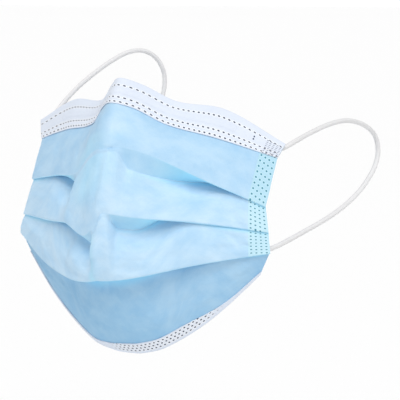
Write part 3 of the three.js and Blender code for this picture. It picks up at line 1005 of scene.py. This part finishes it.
# How much painted shadow a fold takes, by how far it has turned shut
def tuckedShare(fold):
    return smoothBetween(*clothShape["tuckedFrom"], fold["turn"] / math.pi)


# Painted shadow, in a saturated blue, on the cloth just below a shut fold and in the hollows beside
# the ridge
def underFoldShadow(column, index, t):
    fold = column["seams"][index]["fold"]
    paintedShade = 0.0
    if fold:
        covered = column["panels"][index]["hidden"] * column["panels"][index]["shut"]
        past = smoothBetween(covered, covered + tones["underFoldReach"], t)
        paintedShade = tones["underFoldShadow"] * tuckedShare(fold) * (1 - past)
    for hollow in hollowShadows:
        if hollow["panel"] == index:
            low, high = hollow["along"]
            fadeIn, fadeOut = tones["hollowFade"]
            here = math.exp(-((column["share"] - hollow["across"]) / hollow["spread"]) ** 2)
            here *= smoothBetween(low, low + fadeIn, t) * (1 - smoothBetween(high - fadeOut, high, t))
            paintedShade = max(paintedShade, hollow["tone"] * here)
    return paintedShade


# The rows of one pleat: round its edge, up behind it and round again to the panel below
def foldRows(column, index, drop, fade, rowEvery):
    seam = column["seams"][index]
    fold = seam["fold"]
    steps = clothShape["bendSteps"]
    tuckSteps = max(3, round(clothShape["pleatDepth"] / rowEvery / clothShape["tuckCoarser"]))
    # Fold cloth takes painted shade on a facet that faces down, and a painted shadow where the pleat is shut
    tucked = tuckedShare(fold)
    paintedShade = mixed(clothShape["facetShade"], clothShape["tuckedTone"], tucked)
    depth = clothRelief(index, column["share"], 0.0, seam["start"].z) * fade * (1 - seam["shut"])
    out = seam["inward"] * depth
    bend = bendPoints(seam["edge"], fold["heading"], 0.0, fold["turn"], fold["pitch"], steps)
    back = bendPoints(fold["tuck"], fold["heading"], fold["turn"], 0.0, fold["pitch"], steps)
    rows = []
    for k, point in enumerate(bend, 1):
        rows.append((point, drop, (paintedShade, tucked * k / steps)))
    for part in spread(0.0, 1.0, tuckSteps)[1:]:
        rows.append((bend[-1].lerp(fold["tuck"], part) + out * part, drop, (paintedShade, tucked)))
    for k, point in enumerate(back, 1):
        rows.append((point + out, drop, (paintedShade, tucked * (1 - k / steps))))
    return rows


# One column of the cloth from under the band to inside the hem: its points, how far down the mask
# each lies, and its painted shade and shadow. Cloth that a shut pleat covers has no relief.
def clothColumn(share, rowEvery):
    column = columnFrame(share)
    fade = 1 - smoothBetween(*relief["sideFree"], abs(share))
    rows = []
    drop = 0.0
    for index, panel in enumerate(column["panels"]):
        height = panelLooks[index]["height"]
        if column["seams"][index]["fold"]:
            rows += foldRows(column, index, drop, fade, rowEvery)
        firstPlace = 0.0 if index else bodyFit["edgeTuck"] / panel["length"]
        lastPlace = 1 - bodyFit["edgeTuck"] / panel["length"] if index == lastPanel else 1.0
        freeFrom, freeTo = [panel["hidden"] * part for part in relief["tuckedFree"]]
        for t in spread(firstPlace, lastPlace, max(3, round(height / rowEvery)))[1 if index else 0:]:
            point = panelPoint(column, index, t)
            if index:
                depth = clothRelief(index, share, t, point.z) * fade
                depth *= mixed(1, smoothBetween(freeFrom, freeTo + relief["freeLeast"], t), panel["shut"])
                point += panel["inward"] * depth
            rows.append((point, drop + t * height, (panelShade(index, share, t), underFoldShadow(column, index, t))))
        drop += height
    return zip(*rows)


def thicken(piece, innerSlot, rimSlot):
    solid = piece.modifiers.new("wall", "SOLIDIFY")
    solid.thickness = clothShape["wall"] * mm
    solid.offset = 0
    solid.use_even_offset = True
    solid.use_rim = True
    solid.material_offset = innerSlot
    solid.material_offset_rim = rimSlot
    bpy.ops.object.modifier_apply(modifier=solid.name)
    bpy.ops.object.shade_smooth_by_angle(angle=math.radians(clothShape["sharpAngle"]))


# How far the body starts inside the band and the hem, and how close its columns and rows are
bodyFit = {"edgeTuck": 1.0, "shell": (1.1, 0.9), "weld": (0.5, 0.5)}


# A stretch of the body from one share across to another, with the flat cloth's own places, the
# places on the welded strip, and its painted shade and shadow as its maps
def makeCloth(name, fromShare, toShare, every, outer):
    columnEvery, rowEvery = every
    steps = round((toShare - fromShare) * relief["arcHalf"] / columnEvery)
    shares = spread(fromShare, toShare, steps)
    columns, drops, columnShades = zip(*[clothColumn(share, rowEvery) for share in shares])
    flat = []
    weld = []
    for share, column, columnDrops in zip(shares, columns, drops):
        down = 0.0
        for j, point in enumerate(column):
            down += (point - column[max(0, j - 1)]).length
            flat.append((share * relief["arcHalf"] + weldRows["middle"], down))
            weld.append(((1 - abs(share)) * clothShape["halfWidth"], columnDrops[j]))
    faces = gridFaces(len(columns), len(columns[0]))
    piece = makePiece(name, inOne(columns), faces, cloth=flat, weld=weld, tone=inOne(columnShades))
    piece.data.materials.append(outer)
    piece.data.materials.append(innerNonwoven)
    thicken(piece, innerSlot=1, rimSlot=0)
    declarePiece(piece, "body")
    return piece


weldFrom = 1 - clothShape["weldWidth"] / clothShape["halfWidth"]
shell = makeCloth("shell_cloth", -weldFrom, weldFrom, bodyFit["shell"], blueNonwoven)
weldLeft = makeCloth("weld_strip_left", weldFrom, 1, bodyFit["weld"], weldedNonwoven)
weldRight = makeCloth("weld_strip_right", -1, -weldFrom, bodyFit["weld"], weldedNonwoven)

# The band and the hem: white cloth folded over the edge, in front and behind. The hem's front is
# fullest at fullAt and narrows to each side of it.
edgeStrips = {
    "leg": 0.62,
    "every": 0.5,
    "backCoarser": 1.6,
    "edgeSteps": 8,
    "probe": 0.012,
    "normalParts": 4,
    "wave": 0.16,
    "waveSize": (9, 6),
    "waveSeed": 5.5,
    "waveFull": 2,
    "hemNarrow": 2.2,
    "fullAt": 0.24,
    "narrowFrom": (0.17, 0.60),
    "wireAt": 7.8,
    "wireHalf": 2.0,
    "wireRound": 0.55,
    "wireReach": 66.0,
    "wireEnd": 1.5,
    "wireHeight": 0.45,
    "band": {"panel": 0, "height": 15.5, "back": 7.0, "rows": weldRows["band"]},
    "hem": {"panel": lastPanel, "height": 7.0, "back": 6.0, "rows": weldRows["hem"]},
}


# How far weld dots are pressed in at a place on the flat strip, less the rims that stand out
def dotDepth(along, down, rows):
    depth = 0.0
    pitch = weldRows["pitch"]
    for row, phase, slant in rows:
        off = down - row
        beside = (along + phase + off * slant) % pitch - pitch / 2
        reach = math.hypot(beside / weldRows["halfLength"], off / weldRows["halfWidth"])
        rim = smoothBetween(*weldRows["rimFoot"], reach) * (1 - smoothBetween(*weldRows["rimOuter"], reach))
        depth = max(depth, weldRows["depth"] * (1 - smoothBetween(*weldRows["pressedEdge"], reach)))
        depth -= weldRows["rimHeight"] * rim
    return depth


def stripNormal(column, index, t):
    probe = edgeStrips["probe"]
    before = columnFrame(max(-1, column["share"] - probe))
    after = columnFrame(min(1, column["share"] + probe))
    across = panelPoint(after, index, t) - panelPoint(before, index, t)
    along = panelPoint(column, index, min(1, t + probe)) - panelPoint(column, index, max(0, t - probe))
    return across.cross(along).normalized()


# How far down the front reaches, and how far in a place on it lies, from the dots, slow waves in
# the cloth and, on the band, the nose wire's ridge
def frontReach(strip, onBand, share):
    narrow = 0.0 if onBand else smoothBetween(*edgeStrips["narrowFrom"], abs(share - edgeStrips["fullAt"]))
    return mixed(strip["height"], edgeStrips["hemNarrow"], narrow)


def frontDepth(strip, onBand, along, distance):
    leg = edgeStrips["leg"]
    long, short = edgeStrips["waveSize"]
    place = Vector((along / long, distance / short, edgeStrips["waveSeed"] + strip["panel"]))
    depth = edgeStrips["wave"] * noise.noise(place)
    depth *= smoothBetween(leg, leg + edgeStrips["waveFull"], distance)
    onMap = along + weldRows["middle"]
    if onBand:
        fromWire = abs(distance - edgeStrips["wireAt"]) / edgeStrips["wireHalf"]
        wire = 1 - smoothBetween(edgeStrips["wireRound"], 1.0, fromWire)
        wireReach = edgeStrips["wireReach"]
        wire *= 1 - smoothBetween(wireReach - edgeStrips["wireEnd"], wireReach, abs(along))
        depth -= edgeStrips["wireHeight"] * wire
    if onBand or abs(onMap - weldRows["hemMiddle"]) < weldRows["hemReach"]:
        depth += dotDepth(onMap, distance, strip["rows"])
    return depth


def edgeStrip(name, node, strip, onBand, material):
    leg = edgeStrips["leg"]
    every = edgeStrips["every"]
    index = strip["panel"]
    parts = edgeStrips["normalParts"]
    columns = []
    places = []
    for share in spread(-1, 1, round(2 * relief["arcHalf"] / every)):
        column = columnFrame(share)
        length = column["panels"][index]["length"]
        scale = length / strip["height"] if onBand else 1.0
        along = share * relief["arcHalf"]
        normals = [stripNormal(column, index, t) for t in spread(0.0, 1.0, parts)]

        def onStrip(distance, offset):
            t = distance / length if onBand else 1 - distance / length
            k = min(parts - 1, int(clamped(t) * parts))
            inward = normals[k].lerp(normals[k + 1], clamped(t) * parts - k).normalized()
            return panelPoint(column, index, t) + inward * offset

        rows = []
        frontSteps = round(strip["height"] / every)
        for distance in reversed(spread(leg, frontReach(strip, onBand, share), frontSteps)):
            depth = frontDepth(strip, onBand, along, distance)
            rows.append((onStrip(distance * scale, depth - leg), distance))
        for angle in spread(0.0, math.pi, edgeStrips["edgeSteps"])[1:-1]:
            distance = leg - leg * math.sin(angle)
            rows.append((onStrip(distance, -leg * math.cos(angle)), distance))
        for distance in spread(leg, strip["back"], round(strip["back"] / every / edgeStrips["backCoarser"])):
            rows.append((onStrip(distance, leg), -distance))
        if onBand:
            rows.reverse()
        columns.append([point for point, down in rows])
        places.append([(along + weldRows["middle"], down) for point, down in rows])
    faces = gridFaces(len(columns), len(columns[0]))
    piece = makePiece(name, inOne(columns), faces, cloth=inOne(places))
    piece.data.materials.append(material)
    thicken(piece, innerSlot=0, rimSlot=0)
    declarePiece(piece, node)
    return piece


noseBand = edgeStrip("nose_band_cloth", "nose_band", edgeStrips["band"], True, bandNonwoven)
bottomHem = edgeStrip("bottom_hem_cloth", "bottom_hem", edgeStrips["hem"], False, hemNonwoven)

# The studio: a pale floor below the mask, a wide soft key above the camera, and a plain sky that
# is brightest at the horizon. The floor's drop and size are in metres.
studio = {
    "floorDrop": 0.10,
    "floorSize": 60,
    "floorFinish": {"Base Color": (0.99, 0.99, 0.99, 1), "Roughness": 0.9, "Specular IOR Level": 0.1},
    "sky": 0.55,
    "horizon": 1.03,
    "horizonTop": 0.24,
    "keyAzimuth": 34,
    "keyElevation": 54,
    "keyStrength": 1.75,
    "keyAngle": 40,
}


def layFloor():
    lowest = cadBox[0][2] - studio["floorDrop"]
    bpy.ops.mesh.primitive_plane_add(size=studio["floorSize"], location=(0, 0, lowest))
    floor = bpy.context.object
    floor.name = "paleFloor"
    floor.data.materials.append(newMaterial("paleFloorPaint", studio["floorFinish"])[0])


def hangSky():
    world = bpy.data.worlds.new("studioSky")
    world.use_nodes = True
    tree = world.node_tree
    height = addSplit(tree, addNode(tree, "ShaderNodeTexCoord").outputs["Generated"])[2]
    glow = addRange(tree, height, 0.0, studio["horizonTop"], studio["horizon"], studio["sky"])
    background = tree.nodes["Background"]
    background.inputs["Color"].default_value = (1, 1, 1, 1)
    tree.links.new(glow, background.inputs["Strength"])
    bpy.context.scene.world = world


def addKey():
    out = wayOut(studio["keyAzimuth"], studio["keyElevation"])
    bpy.ops.object.light_add(type="SUN", location=out)
    sun = bpy.context.object
    sun.name = "softKey"
    lookIn(sun, out)
    sun.data.energy = studio["keyStrength"]
    sun.data.angle = math.radians(studio["keyAngle"])


layFloor()
hangSky()
addKey()
bpy.context.scene.view_settings.view_transform = "Standard"
print("studio built")
